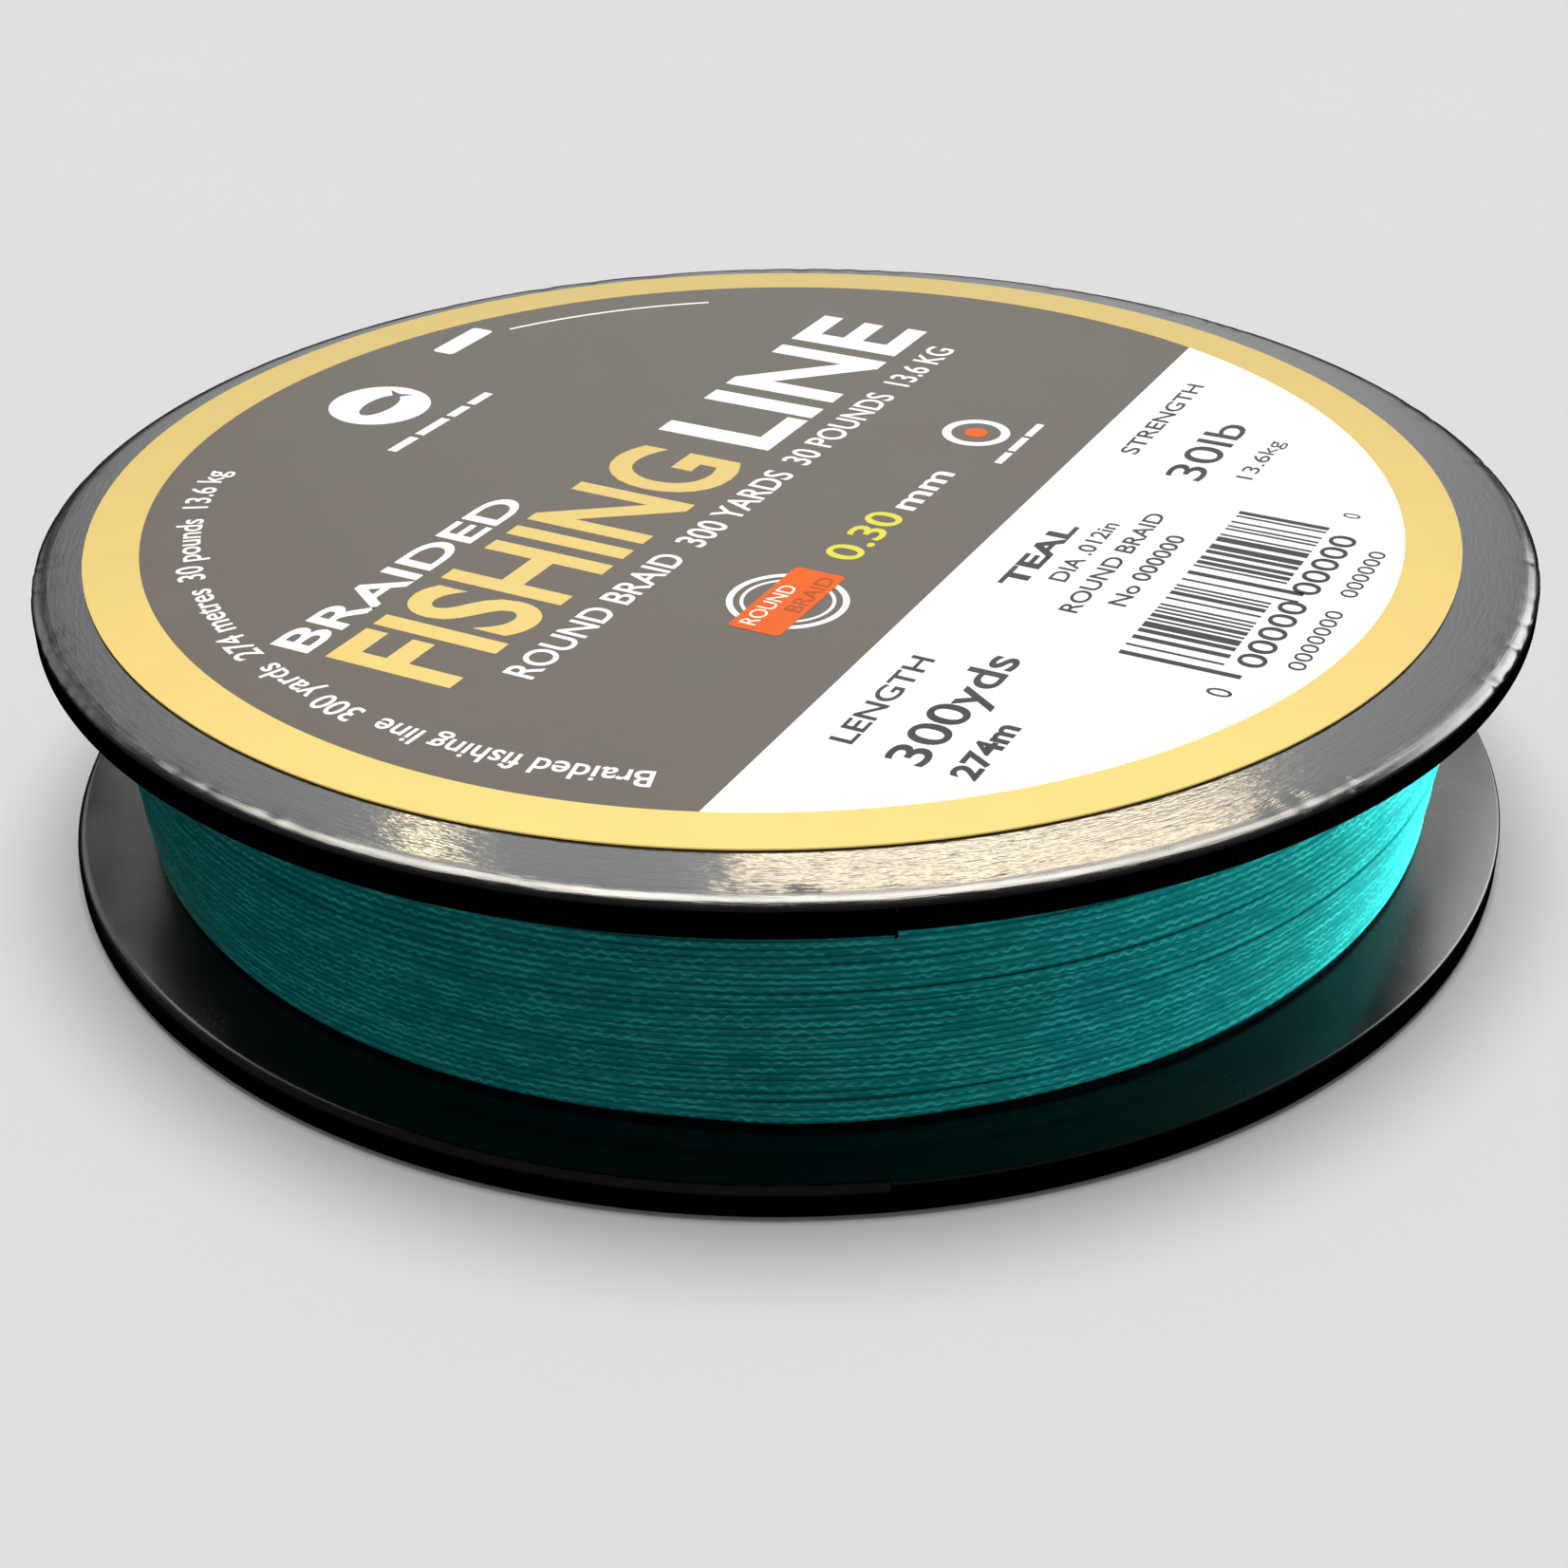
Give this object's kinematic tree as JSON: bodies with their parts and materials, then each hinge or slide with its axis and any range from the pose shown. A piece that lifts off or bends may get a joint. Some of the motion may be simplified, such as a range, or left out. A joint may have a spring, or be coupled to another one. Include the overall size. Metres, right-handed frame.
{
  "type": "fishing line spool",
  "caption": "Flat two-flanged plastic spool wound with teal braided fishing line, round label on the front face and a blind centre bore in its open ribbed back.",
  "frame": {"origin": "centre of the lower flange's resting face, on the spool's axis", "axes": "+Z along the spool's axis from the resting flange to the labelled face; -Y towards the side from which the label is read"},
  "size_m": [0.105, 0.105, 0.0221],
  "materials": {
    "black_plastic": "glossy injection-moulded polystyrene with fine swirl and handling scuffs",
    "label_film": "satin printed adhesive film, gold ring round a warm grey field",
    "braided_line": "tightly braided polyethylene, slightly waxy",
    "start_tape": "matt paper adhesive tape",
    "clear_tape": "clear adhesive tape"
  },
  "bodies": {
    "root": {"spool_body": "black_plastic", "front_label": "label_film", "line_winding": "braided_line", "line_start_tape": "start_tape", "line_end_tape": "clear_tape"}
  },
  "joints": []
}
